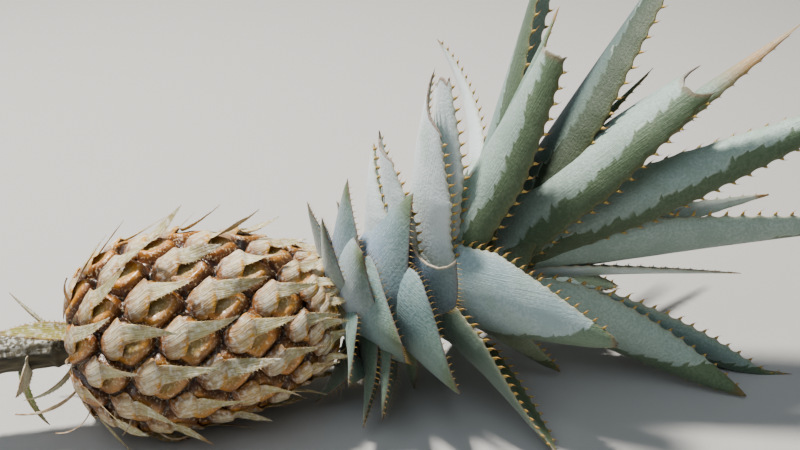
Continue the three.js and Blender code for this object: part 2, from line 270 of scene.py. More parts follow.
# Stalk bracts: small leaves bent back on the stalk, some pale and dry, one fresh and green.
# Each grows by the rule of the crown's leaves: a midrib that is an arc, and a channel across it.
TIP_WIDTH = 0.7
LEAF_THICKNESS = 1.6
LEAF_SLENDERNESS = 80
THIN = 0.7
THIN_END, FULL_WIDTH = 0.12, 8
SHOULDER, SCALE_TAPER, LEAF_TAPER = 0.3, 0.75, 0.6
CUP_FADE, TIGHTEST_CHANNEL = 0.45, 1.6
JAG, COARSE_JAGS, FINE_JAGS = 0.03, 3.1, 9.7
GROUND_EASE, GROUND_BAND = 0.8, 6
FOOT_CLEARANCE = 0.3
RIPPLE_LENGTH = 9
BRACT_CUP, BRACT_PITCH, BRACT_SCALLOP = 60, 1.8, 0.3
PAPER_STAIN, PAPER_FIBRE = (0.55, 0.34, 0.14, 1), (0.46, 0.38, 0.22, 1)
PAPER_SCURF = (0.86, 0.85, 0.78, 1)
BRACT_EDGE_TINT = (0.5, 0.24, 0.06)
BRACT_TIP_TINT = (0.35, 0.22, 0.09)
STALK_BRACTS = [
    dict(rise=-1, turn=28, length=30, width=9, lean=150, bend=30, tint=(0.36, 0.33, 0.05)),
    # Its pale tint is partly its own dry colour and partly painted light, lightened for the shade it
    # sits in.
    dict(rise=-20, turn=98, length=18, width=10, lean=92, bend=14, tint=(0.86, 0.92, 0.74)),
    dict(rise=-12, turn=335, length=20, width=6, lean=132, bend=-8, tint=(0.5, 0.6, 0.42)),
    dict(rise=-3, turn=130, length=24, width=6, lean=120, bend=60, tint=(0.5, 0.56, 0.38)),
    # Its green is partly its own fresh colour and partly painted light, lightened for the shade it sits
    # in.
    dict(rise=-25, turn=166, length=27, width=9, lean=92, bend=-38, tint=(0.42, 0.66, 0.07)),
]


def blade_width(blade, share):
    left = max(0.0, 1 - share)
    if blade["kind"] == "scale":
        swell = 0.85 + 0.15 * math.sin(math.pi / 2 * min(share / SHOULDER, 1))
        taper = min(1, left / SCALE_TAPER)
        return blade["width"] * swell * math.sin(math.pi / 2 * taper) * (0.75 + 0.25 * taper)
    foot = 1 + blade.get("sheath", 0.0) * (1 - min(share / SHOULDER, 1)) ** 2
    return blade["width"] * foot * min(1, left / LEAF_TAPER) ** 0.8


def blade_thickness(blade):
    return THIN * max(LEAF_THICKNESS, blade["length"] / LEAF_SLENDERNESS)


def blade_place(blade, share, side):
    axis = blade["axis"]
    outwards = radial(axis, blade["turn"])
    lean = math.radians(blade["lean"])
    bend = math.radians(blade["bend"] or 0.01)
    angle = lean + bend * share
    scale = blade["length"] / bend
    rise = blade["rise"] + scale * (math.sin(angle) - math.sin(lean))
    reach = blade["foot"] + scale * (math.cos(lean) - math.cos(angle))
    back = axis["along"] * -math.sin(angle) + outwards * math.cos(angle)
    across = axis["along"].cross(outwards)
    heading = back.cross(across)
    turned = Matrix.Rotation(math.radians(blade.get("twist", 0) * share), 3, heading)
    back, across = turned @ back, turned @ across
    width = max(blade_width(blade, share), TIP_WIDTH)
    full_cup = math.radians(blade["cup"] * (1 - CUP_FADE * share))
    cup = min(full_cup, width / (TIGHTEST_CHANNEL * blade_thickness(blade)))
    radius = width / cup
    slope = side * cup / 2
    point = point_from(axis, rise, outwards, reach)
    point += (back * (-radius * (1 - math.cos(slope))) + across * (radius * math.sin(slope))) * MM
    return point, back * math.cos(slope) + across * math.sin(slope), width


def above_ground(point):
    ease_height = GROUND_EASE * MM
    height = (point.z + math.sqrt(point.z ** 2 + 4 * ease_height ** 2)) / 2
    return Vector((point.x, point.y, height)) if point.z < GROUND_BAND * MM else point


def blade_end(blade, side):
    left, right, *dip = blade.get("torn", (1, 1))
    end = left + (right - left) * (side + 1) / 2 - sum(dip) * (1 - side ** 2)
    if "torn" in blade:
        jag = noise.noise(Vector((side * COARSE_JAGS, blade["turn"], 0)))
        jag += 0.6 * noise.noise(Vector((side * FINE_JAGS, blade["turn"], 5)))
        end += blade.get("jag", JAG) * jag
    return end


def scalloped(blade, share, side):
    notch = blade.get("scallop", 0) * abs(math.sin(math.pi * share * blade["length"] / blade["pitch"]))
    fade = ease(share / 0.15) * ease((1 - share) / 0.2)
    width = max(blade_width(blade, share), TIP_WIDTH)
    return side * (1 - min(0.5, 2 * notch * fade / width) * abs(side) ** 6)


def grow_blade(mesh, blade, paint):
    columns, rows = blade["columns"], blade["rows"]
    half = blade_thickness(blade) / 2

    def place(column, row):
        angle = math.pi * column / columns
        side = math.cos(angle)
        share = clamp((row - 1) / rows) * blade_end(blade, side)
        point, out, width = blade_place(blade, share, scalloped(blade, share, side))
        closed = row in (0, rows + 2)
        swell = math.copysign(abs(math.sin(angle)) ** 0.7, math.sin(angle))
        fullness = THIN_END + (1 - THIN_END) * min(1, width / FULL_WIDTH)
        lift = 0 if closed else half * fullness * swell
        edge = width / 2 * (1 - abs(side))
        reach = share * blade["length"]
        wave = noise.noise(Vector((reach / RIPPLE_LENGTH, side, blade["turn"])))
        ripple = blade.get("ripple", 0) * wave * abs(side) ** 3
        point = point + out * (lift + ripple) * MM
        pattern = Vector((side * width / 2, reach, width / 2 * (1 - side)))
        return above_ground(point), paint(blade, share, side, edge, swell), pattern

    roll_grid(mesh, 2 * columns, rows + 2, place)


def stalk_bract(shape):
    slope = abs(math.cos(math.radians(shape["lean"])))
    foot = STALK_RADIUS + FOOT_CLEARANCE + slope * LEAF_THICKNESS / 2
    return dict(
        axis=fruit_axis, foot=foot, cup=BRACT_CUP, kind="leaf", columns=8, rows=30,
        pitch=BRACT_PITCH, scallop=BRACT_SCALLOP, **shape,
    )


def paint_bract(blade, share, side, edge, swell):
    colour = mix(blade["tint"], BRACT_EDGE_TINT, 0.7 * ease(1 - edge / 0.9))
    return mix(colour, BRACT_TIP_TINT, ease((share - 0.85) / 0.15))


stalk_bracts = [stalk_bract(shape) for shape in STALK_BRACTS]
bract_mesh = start_mesh()
for blade in stalk_bracts:
    grow_blade(bract_mesh, blade, paint_bract)


def streaks(tree, across, along, detail=3.0):
    place = read_attribute(tree, "pattern").outputs["Vector"]
    mapped = add_node(tree, "Mapping", {"Vector": place, "Scale": (across, along, 0.05)})
    inputs = {"Vector": mapped.outputs["Vector"], "Scale": 1.0, "Detail": detail}
    return add_node(tree, "TexNoise", inputs).outputs["Fac"]


papery, tree, shader = start_material("papery_bract", 0.6)
fleck = grain(tree, 600, 4)
stain = grain(tree, 150, 4)
fibres = streaks(tree, 2.6, 0.16)
colour = read_attribute(tree, "tint").outputs["Color"]
colour = tinted(tree, ramp(tree, stain, 0.49, 0.66, 0, 0.75), colour, PAPER_STAIN, "MULTIPLY")
colour = tinted(tree, ramp(tree, fibres, 0.42, 0.62, 0.75, 0), colour, PAPER_FIBRE, "MULTIPLY")
colour = tinted(tree, ramp(tree, fleck, 0.48, 0.7, 0, 0.55), colour, PAPER_SCURF)
tree.links.new(colour, shader.inputs["Base Color"])
relief = calculate(tree, "ADD", fibres, calculate(tree, "MULTIPLY", fleck, 0.4))
add_relief(tree, shader, relief, 0.5)

stalk_bract_blades = finish_mesh(bract_mesh, "stalk_bract_blades", papery)
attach(stalk_bract_blades, "root")
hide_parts(*[f"stalk_bract_{number:02d}" for number in range(1, 6)])

# Fruit: ten rows of eyes in spirals, each the swollen foot of one flower. Dark sticky creases
# part them, and each rises to a glossy amber rim round a paler dish.
FRUIT_LENGTH = 104
FRUIT_RADIUS = 39
WIDEST_AT = 38
FOOT_REACH = 46
TOP_REACH = 74.5
EYE_ROWS = 10
EYE_COLUMNS = 8
EYE_SHEAR = 0.54
EYE_DEPTH, RIM_HEIGHT, DISH_DEPTH = 3.5, 4.9, 2.0
RIM_START, DISH_START, EYE_SLOPE = 0.4, 3.3, 3.6
CORNER_SHARPNESS = 0.9
LUMP_HEIGHT, LUMP_SIZE = 0.35, 4
PIMPLE_HEIGHT, PIMPLE_SIZE = 0.15, 1.6
CAP_BULGE = 2.5
ROW_EASE = 0.35
RIND_AROUND, RIND_ALONG, RIND_CAP = 288, 168, 8
EYE_NEIGHBOURS = (
    (1, EYE_SHEAR), (1, EYE_SHEAR - 1), (2, 2 * EYE_SHEAR - 1),
    (-1, -EYE_SHEAR), (-1, 1 - EYE_SHEAR), (-2, 1 - 2 * EYE_SHEAR),
)
CREASE_TINT = (0.025, 0.008, 0.004)
RUST_TINT = (0.13, 0.042, 0.006)
AMBER_TINT = (0.56, 0.23, 0.014)
DISH_TINT = (0.5, 0.33, 0.07)
EYE_BANDS = ((-0.3, 0.9, RUST_TINT), (0.9, 2.3, AMBER_TINT), (3.8, 2.4, DISH_TINT))
EYE_SHADE, EYE_SHADE_RANGE = 0.75, 0.35
RIND_SHADE, RIND_STAIN = (0.6, 0.36, 0.2, 1), (0.42, 0.2, 0.1, 1)
RIND_FLECK, RIND_CHALK = (0.85, 0.7, 0.42, 1), (0.68, 0.56, 0.3, 1)


def fruit_radius(rise):
    to_foot = max(0.0, WIDEST_AT - rise) / FOOT_REACH
    to_top = max(0.0, rise - WIDEST_AT) / TOP_REACH
    return FRUIT_RADIUS * math.sqrt(max(0.04, 1 - to_foot ** 2.5 - to_top ** 2))


def row_rise(row):
    share = row / EYE_ROWS
    eased = 0.5 - 0.5 * math.cos(math.pi * clamp(share))
    return FRUIT_LENGTH * ((1 - ROW_EASE) * share + ROW_EASE * eased)


def skin_point(row, column, height):
    rise = row_rise(row)
    direction = radial(fruit_axis, 360 * column / EYE_COLUMNS)
    return point_from(fruit_axis, rise, direction, fruit_radius(rise) + height)


def cell_size(row):
    pitch = row_rise(row + 0.5) - row_rise(row - 0.5)
    return pitch, 2 * math.pi * fruit_radius(row_rise(row)) / EYE_COLUMNS


def nearest_eye(row, column):
    pitch, spacing = cell_size(clamp(row, 0.5, EYE_ROWS - 0.5))
    best = None
    for step in range(-2, 3):
        eye_row = clamp(math.floor(row) + 0.5 + step, 0.5, EYE_ROWS - 0.5)
        number = round(column - eye_row * EYE_SHEAR)
        ahead = (row - eye_row) * pitch
        aside = (column - number - eye_row * EYE_SHEAR) * spacing
        if best is None or ahead * ahead + aside * aside < best[0]:
            best = (ahead * ahead + aside * aside, eye_row, number, ahead, aside)
    return best[1:], pitch, spacing


def eye_relief(row, column):
    (eye_row, number, ahead, aside), pitch, spacing = nearest_eye(row, column)
    crowding = 0.0
    for rows, columns in EYE_NEIGHBOURS:
        if 0 < eye_row + rows < EYE_ROWS:
            x, y = rows * pitch, columns * spacing
            size = math.hypot(x, y)
            past_middle = (ahead * x + aside * y) / size - size / 2
            crowding += math.exp(CORNER_SHARPNESS * past_middle)
    inside = -math.log(max(crowding, 1e-5)) / CORNER_SHARPNESS
    rim = math.sin(math.pi / 2 * clamp((inside + RIM_START) / EYE_SLOPE))
    dish = ease((inside - DISH_START) / EYE_SLOPE)
    height = -EYE_DEPTH + RIM_HEIGHT * rim - DISH_DEPTH * dish
    return height, inside, ahead, aside, number + eye_row


def rind_point(column, row):
    place = EYE_COLUMNS * column / RIND_AROUND
    body = (row - RIND_CAP) / (RIND_ALONG - 2 * RIND_CAP)
    lattice = EYE_ROWS * clamp(body)
    over = max(RIND_CAP - row, row - RIND_ALONG + RIND_CAP, 0) / RIND_CAP
    height, inside, ahead, aside, seed = eye_relief(lattice, place)
    point = skin_point(lattice, place, height)
    height += LUMP_HEIGHT * wobble(point, LUMP_SIZE) + PIMPLE_HEIGHT * wobble(point, PIMPLE_SIZE)
    point = skin_point(lattice, place, height)
    if over:
        centre = point_from(fruit_axis, row_rise(lattice), FRONT, 0)
        direction = point - centre
        sign = -1 if body < 0 else 1
        point = centre + direction * math.cos(math.pi / 2 * over)
        point += fruit_axis["along"] * sign * CAP_BULGE * MM * math.sin(math.pi / 2 * over)
    colour = CREASE_TINT
    for start, breadth, tint in EYE_BANDS:
        colour = mix(colour, tint, ease((inside - start) / breadth))
    dark = EYE_SHADE + EYE_SHADE_RANGE * math.sin(4.7 * seed)
    colour = tuple(channel * (dark + (1 - dark) * 0.4) for channel in colour)
    return above_ground(point), (*colour, ease((inside - 2.6) / 2)), Vector((ahead, aside, inside))


fruit_mesh = start_mesh()
roll_grid(fruit_mesh, RIND_AROUND, RIND_ALONG, rind_point)

rind, tree, shader = start_material("fruit_rind", 0.4, Coat_Weight=0.25, Coat_Roughness=0.18)
tint = read_attribute(tree, "tint")
fine = grain(tree, 900, 5)
coarse = grain(tree, 210, 5)
broad = grain(tree, 45, 3)
colour = tint.outputs["Color"]
colour = tinted(tree, ramp(tree, broad, 0.4, 0.62, 0, 0.5), colour, RIND_SHADE, "MULTIPLY")
colour = tinted(tree, ramp(tree, coarse, 0.48, 0.68, 0, 0.7), colour, RIND_STAIN, "MULTIPLY")
colour = tinted(tree, ramp(tree, fine, 0.55, 0.68, 0, 0.6), colour, RIND_FLECK)
chalk = calculate(tree, "MULTIPLY", ramp(tree, coarse, 0.42, 0.6), tint.outputs["Alpha"])
colour = tinted(tree, calculate(tree, "MULTIPLY", chalk, 0.2), colour, RIND_CHALK)
tree.links.new(colour, shader.inputs["Base Color"])
tree.links.new(ramp(tree, chalk, 0, 1, 0.28, 0.7), shader.inputs["Roughness"])
add_relief(tree, shader, calculate(tree, "ADD", fine, coarse), 0.45)

fruit_rind = finish_mesh(fruit_mesh, "fruit_eyes", rind)
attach(fruit_rind, "root")
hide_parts("fruit")

# Fruit bracts: each eye sits in the fold of a papery bract. Its broad foot covers the half towards
# the stalk, has a thick yellow edge, and draws out into a toothed point that lifts to the crown.
BRACT_COLUMNS, BRACT_ROWS = 10, 34
BRACT_FOOT = -0.97
HOOD_END = -0.03
HOOD_HALF_WIDTH = ((-0.97, 3.2), (-0.65, 6.6), (-0.35, 8.0), (-0.16, 7.4), (-0.03, 3.9))
TAIL_HALF_WIDTH = 3.8
TAIL_ASIDE = -3.4
BRACT_HEIGHT = (
    (-0.97, -3.2), (-0.86, -0.8), (-0.72, 1.5), (-0.5, 2.3),
    (-0.28, 2.8), (-0.05, 3.4), (0.08, 2.7), (0.6, 2.8),
)
BRACT_EDGE_DROP = (
    (-0.97, 0.4), (-0.6, 3.4), (-0.35, 3.2), (-0.2, 2.0),
    (-0.05, 0.6), (0.1, 0.6), (1.0, 0.2),
)
BRACT_HALF_THICKNESS = 0.45
BRACT_GROOVE = 1.2
CRINKLE_HEIGHT, CRINKLE_SIZE = 0.35, 3.5
FULL_SPACING = 30
SCURF_TINT = (0.74, 0.64, 0.44)
STAIN_TINT = (0.36, 0.13, 0.025)
RUBBED_TINT = (0.58, 0.4, 0.13)
EDGE_TINT = (0.78, 0.42, 0.04)
TAIL_TINT = (0.54, 0.52, 0.26)


def follow(pairs, value):
    for (low, first), (high, second) in zip(pairs, pairs[1:]):
        if value < high:
            return first + (second - first) * clamp((value - low) / (high - low))
    return pairs[-1][1]


def fruit_bract_place(bract, share, side):
    ahead = BRACT_FOOT + (bract["reach"] - BRACT_FOOT) * share
    row = bract["row"] + ahead
    spacing = cell_size(clamp(row, 0.5, EYE_ROWS - 0.5))[1]
    tail = clamp((ahead - HOOD_END) / (bract["reach"] - HOOD_END))
    half = follow(HOOD_HALF_WIDTH, ahead) if tail == 0 else TAIL_HALF_WIDTH * (1 - tail) ** 1.05 + 0.1
    half *= spacing / FULL_SPACING
    height = follow(BRACT_HEIGHT, ahead) - follow(BRACT_EDGE_DROP, ahead) * abs(side) ** 4
    groove = BRACT_GROOVE * (1 - side * side) * (tail > 0) * (1 - tail)
    height += bract["lift"] * tail ** 1.5 - groove
    height += bract["roll"] * side * half * min(1, 2 * tail)
    aside = side * half + TAIL_ASIDE * ease((ahead + 0.7) / 0.8) + bract["drift"] * tail ** 2
    return skin_point(row, bract["column"] + aside / spacing, height), half, ahead


def paint_fruit_bract(bract, side, half, ahead):
    edge = half * (1 - abs(side))
    hood = ahead < HOOD_END
    scurf = mix(SCURF_TINT, RUBBED_TINT, bract["rubbed"])
    crusted = ease((ahead + 0.95) / 0.6) * (1 - 0.9 * ease(1 - edge / 3) * hood)
    colour = mix(STAIN_TINT, scurf, crusted)
    lip = ease((ahead + 0.26) / 0.09) * hood * ease(side / 0.25)
    front = ease(1 - edge / 3.2) * ease((ahead + 0.5) / 0.2) * hood * (side > 0)
    colour = mix(colour, EDGE_TINT, max(lip, front, 0.7 * ease(1 - edge / 0.6)))
    colour = mix(colour, TAIL_TINT, 0.75 * ease((ahead + 0.1) / 0.4) * (1 - 0.6 * ease(1 - edge / 0.7)))
    colour = mix(colour, bract["tip"], ease((ahead - bract["reach"] + 0.6) / 0.6))
    return tuple(channel * bract["shade"] for channel in colour)


def grow_fruit_bract(mesh, bract):
    def place(column, row):
        angle = math.pi * column / BRACT_COLUMNS
        side = math.cos(angle)
        share = clamp((row - 1) / BRACT_ROWS) ** 1.15
        point, half, ahead = fruit_bract_place(bract, share, side)
        outwards = (point - bract["centre"]).normalized()
        closed = row in (0, BRACT_ROWS + 2)
        lift = 0 if closed else BRACT_HALF_THICKNESS * math.sin(angle) * min(1, half / 3)
        crinkle = CRINKLE_HEIGHT * wobble(point, CRINKLE_SIZE, bract["row"])
        crinkle *= ease((ahead + 0.9) / 0.4)
        point = point + outwards * (lift + crinkle) * MM
        colour = paint_fruit_bract(bract, side, half, ahead)
        return above_ground(point), colour, Vector((side * half, ahead * 10, half))

    roll_grid(mesh, 2 * BRACT_COLUMNS, BRACT_ROWS + 2, place)


chance = random.Random(11)
BRACT_TIPS = ((0.4, 0.44, 0.24), (0.4, 0.19, 0.05), (0.6, 0.56, 0.42))
COLLAR_BRACTS = 18
fruit_bracts = []
for row_number in range(EYE_ROWS):
    for number in range(EYE_COLUMNS):
        eye_row = row_number + 0.5
        eye_column = number + eye_row * EYE_SHEAR
        fruit_bracts.append(dict(
            row=eye_row,
            column=eye_column,
            centre=point_from(fruit_axis, row_rise(eye_row), FRONT, 0),
            reach=chance.uniform(1.2, 1.8),
            lift=chance.uniform(4, 13),
            roll=chance.uniform(-1.1, 1.1),
            drift=chance.uniform(-4, 3),
            shade=chance.uniform(0.72, 1.05),
            rubbed=chance.uniform(0, 0.7),
            tip=chance.choice(BRACT_TIPS),
        ))
for number in range(COLLAR_BRACTS):
    row = EYE_ROWS - 0.8 + 0.5 * (number % 2)
    fruit_bracts.append(dict(
        row=row,
        column=number * EYE_COLUMNS / COLLAR_BRACTS,
        centre=point_from(fruit_axis, row_rise(row), FRONT, 0),
        reach=chance.uniform(1.4, 2.1),
        lift=chance.uniform(7, 14),
        roll=chance.uniform(-0.5, 0.5),
        drift=chance.uniform(-3, 3),
        shade=chance.uniform(0.9, 1.1),
        rubbed=chance.uniform(0, 0.4),
        tip=BRACT_TIPS[0],
    ))
bracts_mesh = start_mesh()
for bract in fruit_bracts:
    grow_fruit_bract(bracts_mesh, bract)

fruit_bract_blades = finish_mesh(bracts_mesh, "fruit_bract_blades", papery)
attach(fruit_bract_blades, "root")

# Dry threads: what is left of the flowers and of torn bracts, thin papery strips that curl at the
# foot of the fruit.
THREADS = (
    dict(rise=-1, turn=112, length=26, lean=128, bend=70, twist=90),
    dict(rise=3, turn=128, length=19, lean=100, bend=95, twist=-60),
    dict(rise=13, turn=133, length=22, lean=70, bend=-120, twist=80),
    dict(rise=19, turn=116, length=9, lean=95, bend=40, twist=20),
    dict(rise=14, turn=110, length=8, lean=110, bend=-30, twist=40),
    dict(rise=0, turn=70, length=15, lean=120, bend=-80, twist=50),
    dict(rise=2, turn=20, length=17, lean=110, bend=-50, twist=-70),
    dict(rise=26, turn=137, length=17, lean=75, bend=-100, twist=-50),
    dict(rise=-1, turn=230, length=20, lean=125, bend=60, twist=70),
    dict(rise=10, turn=285, length=16, lean=80, bend=70, twist=-40),
)
THREAD_WIDTH, THREAD_CUP, THREAD_SINK = 1.7, 70, 1
THREAD_TINT = (0.62, 0.55, 0.38)


def thread(shape):
    foot = fruit_radius(shape["rise"]) - THREAD_SINK
    return dict(
        axis=fruit_axis, foot=foot, width=THREAD_WIDTH, cup=THREAD_CUP, kind="leaf",
        columns=4, rows=22, pitch=2, tint=THREAD_TINT, **shape,
    )


thread_mesh = start_mesh()
for shape in THREADS:
    grow_blade(thread_mesh, thread(shape), paint_bract)

dry_threads = finish_mesh(thread_mesh, "dry_threads", papery)
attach(dry_threads, "root")

# Stem inside the crown: a short tapered pith, ringed by the scars of its leaves.
CROWN_TILT = 14
STEM_LENGTH = 72
STEM_FOOT_RADIUS = 14
STEM_TOP_RADIUS = 5
STEM_SINK = 5
STEM_AROUND, STEM_ALONG = 48, 64
SCAR_HEIGHT = 0.4
STEM_TINT, SCAR_TINT = (0.5, 0.52, 0.36), (0.3, 0.24, 0.12)
STEM_FIBRE = (0.4, 0.36, 0.25, 1)


def stem_radius(rise):
    share = clamp(rise / STEM_LENGTH)
    return STEM_FOOT_RADIUS + (STEM_TOP_RADIUS - STEM_FOOT_RADIUS) * share


crown_axis = make_axis(point_from(fruit_axis, FRUIT_LENGTH, FRONT, 0), CROWN_TILT)


def stem_point(column, row):
    rise = -STEM_SINK + (STEM_LENGTH + STEM_SINK) * clamp((row - 1) / (STEM_ALONG - 2))
    turn = 360 * column / STEM_AROUND
    ringed = SCAR_HEIGHT * math.sin(rise * 1.6 + math.radians(turn))
    radius = 0 if row in (0, STEM_ALONG) else stem_radius(rise) - SCAR_HEIGHT + ringed
    point = point_from(crown_axis, rise, radial(crown_axis, turn), radius)
    return point, mix(STEM_TINT, SCAR_TINT, 0.5 + ringed), point


stem_mesh = start_mesh()
roll_grid(stem_mesh, STEM_AROUND, STEM_ALONG, stem_point)

pith, tree, shader = start_material("stem_pith", 0.8)
fibres = grain(tree, 300, 4, (0.2, 1, 1))
colour = read_attribute(tree, "tint").outputs["Color"]
colour = tinted(tree, ramp(tree, fibres, 0.35, 0.65, 0, 0.6), colour, STEM_FIBRE, "MULTIPLY")
tree.links.new(colour, shader.inputs["Base Color"])
add_relief(tree, shader, fibres, 0.4)

stem_pith = finish_mesh(stem_mesh, "stem_pith", pith)
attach(stem_pith, "root")
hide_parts("crown_stem")

# Scales at the foot of the crown: short broad leaves with a mealy silver bloom, purple-brown
# margins and hooked green tips. The lower ones hang, and one is torn off to a stump.
LEAF_CUP, SCALE_CUP = 150, 120
SILVER = (0.27, 0.36, 0.5)
BLUE = (0.17, 0.28, 0.29)
TEAL = (0.09, 0.19, 0.155)
# A very dark teal: painted shade, for a leaf that stands in shade.
PAINTED_SHADE_TEAL = (0.03, 0.075, 0.066)
# A lightened silver: painted light, standing for sunlight on scales whose shaded side faces the front.
PAINTED_LIGHT_SILVER = (0.46, 0.56, 0.64)
SAGE = (0.15, 0.24, 0.175)
# Pale bloom made near white: partly the leaves' own pale bloom, partly painted light standing for
# sunlight.
PALE_PAINTED_LIGHT = (0.74, 0.82, 0.82)
GREEN = (0.045, 0.085, 0.045)
OLIVE = (0.12, 0.15, 0.04)
DARK = (0.03, 0.04, 0.018)
SCALES = [
    # Scales 1, 3 and 5 take the lightened silver as painted light.
    dict(rise=1, turn=344, length=32, width=28, lean=84, bend=0, tint=PAINTED_LIGHT_SILVER),
    dict(rise=1, turn=152, length=30, width=32, lean=120, bend=26, tint=DARK),
    dict(rise=1, turn=12, length=35, width=30, lean=78, bend=0, tint=PAINTED_LIGHT_SILVER),
    dict(rise=2, turn=106, length=28, width=36, lean=86, bend=26, tint=TEAL),
    dict(rise=4, turn=36, length=35, width=52, lean=68, bend=-8, tint=PAINTED_LIGHT_SILVER),
    dict(rise=7, turn=134, length=40, width=36, lean=92, bend=24, tint=GREEN),
    dict(rise=3, turn=352, length=43, width=50, lean=64, bend=-4, tint=SILVER),
    dict(rise=8, turn=338, length=30, width=36, lean=60, bend=28, tint=PALE_PAINTED_LIGHT),
    dict(rise=6, turn=84, length=38, width=60, lean=62, bend=4, tint=BLUE),
    dict(rise=13, turn=126, length=41, width=38, lean=88, bend=24, tint=GREEN),
    dict(rise=10, turn=13, length=49, width=56, lean=43, bend=0, tint=SILVER),
    dict(rise=18, turn=112, length=50, width=72, lean=66, bend=0, tint=BLUE),
    dict(rise=20, turn=168, length=38, width=36, lean=80, bend=10, tint=OLIVE),
    # The stump's silver is chosen lighter than blue as painted light, for the shade it sits in.
    dict(
        rise=29, turn=28, length=58, width=64, lean=62, bend=-6,
        torn=(0.62, 0.62, 0.26), jag=0.02, tint=SILVER,
    ),
]
BROAD_LEAF = 24
SCALE_PITCH, LEAF_PITCH, SPINES_PER_LEAF = 1.9, (3.8, 6.8), 23
SCALE_SCALLOP, BROAD_SCALLOP, NARROW_SCALLOP = 0.3, 1.1, 0.6
# The third of these is painted shade, laid on one flank of each scale.
SCALE_END, SCALE_INSIDE, SCALE_PAINTED_SHADE = (0.08, 0.15, 0.08), (0.14, 0.2, 0.13), (0.05, 0.09, 0.06)
TIP_GREEN = (0.07, 0.1, 0.015)
SCALE_MARGIN = (0.12, 0.04, 0.04)
STUMP_RIM = (0.38, 0.27, 0.17)
BLOOM_TINT, WORN_TINT = (0.68, 0.78, 0.76, 1), (0.5, 0.62, 0.45, 1)
# The first is the print's greener border, darkened further as painted shade.
PRINT_BORDER_AND_SHADE, PRINT_LINE = (0.4, 0.44, 0.23, 1), (0.6, 0.68, 0.6, 1)
PRINTS_PER_MM, PRINT_SCALE = 0.16, 10.0


def crown_blade(shape, kind):
    length = shape["length"]
    thickness = max(LEAF_THICKNESS, length / LEAF_SLENDERNESS)
    foot = stem_radius(shape["rise"]) + thickness / 2 + FOOT_CLEARANCE
    if kind == "scale":
        cup, pitch, scallop = SCALE_CUP, SCALE_PITCH, SCALE_SCALLOP
        rows = round(20 + length / 0.9)
    else:
        cup, pitch = LEAF_CUP, clamp(length / SPINES_PER_LEAF, *LEAF_PITCH)
        scallop = BROAD_SCALLOP if shape["width"] > BROAD_LEAF else NARROW_SCALLOP
        rows = round(20 + length / 1.2)
    return dict(
        axis=crown_axis, foot=foot, cup=cup, kind=kind, columns=14, rows=rows,
        pitch=pitch, scallop=scallop, sheath=0.3, ripple=0.6, **shape,
    )


def paint_scale(blade, share, side, edge, swell):
    end_tint = mix(blade["tint"], SCALE_END, 0.7)
    colour = mix(blade["tint"], end_tint, ease((share - 0.15) / 0.7))
    if swell < 0:
        colour = mix(colour, SCALE_INSIDE, 0.5)
    # Painted shade: one flank of each scale is darkened towards its margin, as if turned from the light.
    colour = mix(colour, SCALE_PAINTED_SHADE, 0.65 * ease((side + 0.1) / 0.9))
    colour = mix(colour, TIP_GREEN, 0.9 * ease((share - 0.72) / 0.2))
    colour = mix(colour, SCALE_MARGIN, 0.7 * ease(1 - edge / 1.1))
    if "torn" in blade:
        colour = mix(colour, STUMP_RIM, ease((share / blade_end(blade, side) - 0.965) / 0.02))
    return (*colour, 0.0)


scales = [crown_blade(shape, "scale") for shape in SCALES]
scales_mesh = start_mesh()
for blade in scales:
    grow_blade(scales_mesh, blade, paint_scale)

bloomy, tree, shader = start_material("bloomy_leaf", 0.58, Sheen_Weight=0.2, Sheen_Roughness=0.5)
tint = read_attribute(tree, "tint")
place = add_node(tree, "SeparateXYZ", {"Vector": read_attribute(tree, "pattern").outputs["Vector"]})
along, edge = place.outputs["Y"], place.outputs["Z"]
meal = grain(tree, 900, 4)
rubbed = grain(tree, 80, 5)
repeat = calculate(tree, "FRACT", calculate(tree, "MULTIPLY", along, PRINTS_PER_MM))
hook = calculate(tree, "POWER", repeat, 2.0)
uneven = calculate(tree, "MULTIPLY", calculate(tree, "SUBTRACT", rubbed, 0.5), 12.0)
hook = calculate(tree, "ADD", calculate(tree, "MULTIPLY", hook, 1.5), uneven)
reach = calculate(tree, "MULTIPLY", tint.outputs["Alpha"], PRINT_SCALE)
print_edge = calculate(tree, "SUBTRACT", edge, calculate(tree, "ADD", reach, hook))
printed = calculate(tree, "GREATER_THAN", tint.outputs["Alpha"], 0.05)
inside = calculate(tree, "MULTIPLY", ramp(tree, print_edge, -0.5, 0.5), printed)
from_edge = calculate(tree, "ABSOLUTE", print_edge)
line = calculate(tree, "MULTIPLY", ramp(tree, from_edge, 0.1, 0.7, 1, 0), printed)
line = calculate(tree, "MULTIPLY", line, ramp(tree, rubbed, 0.45, 0.6))
border_and_shade = calculate(tree, "MULTIPLY", calculate(tree, "SUBTRACT", 1.0, inside), printed)
bloom = ramp(tree, calculate(tree, "ADD", meal, calculate(tree, "MULTIPLY", rubbed, 0.9)), 0.82, 1.12)
fresh = calculate(tree, "MULTIPLY", inside, 0.24)
bloom = calculate(tree, "ADD", calculate(tree, "MULTIPLY", bloom, 0.26), fresh)
green = add_node(tree, "SeparateColor", {"Color": tint.outputs["Color"]}).outputs["Green"]
bloom = calculate(tree, "MULTIPLY", bloom, ramp(tree, green, 0.06, 0.3, 0.12, 1.0))
colour = tinted(tree, bloom, tint.outputs["Color"], BLOOM_TINT)
worn = calculate(tree, "MULTIPLY", ramp(tree, rubbed, 0.5, 0.72), 0.55)
colour = tinted(tree, worn, colour, WORN_TINT, "MULTIPLY")
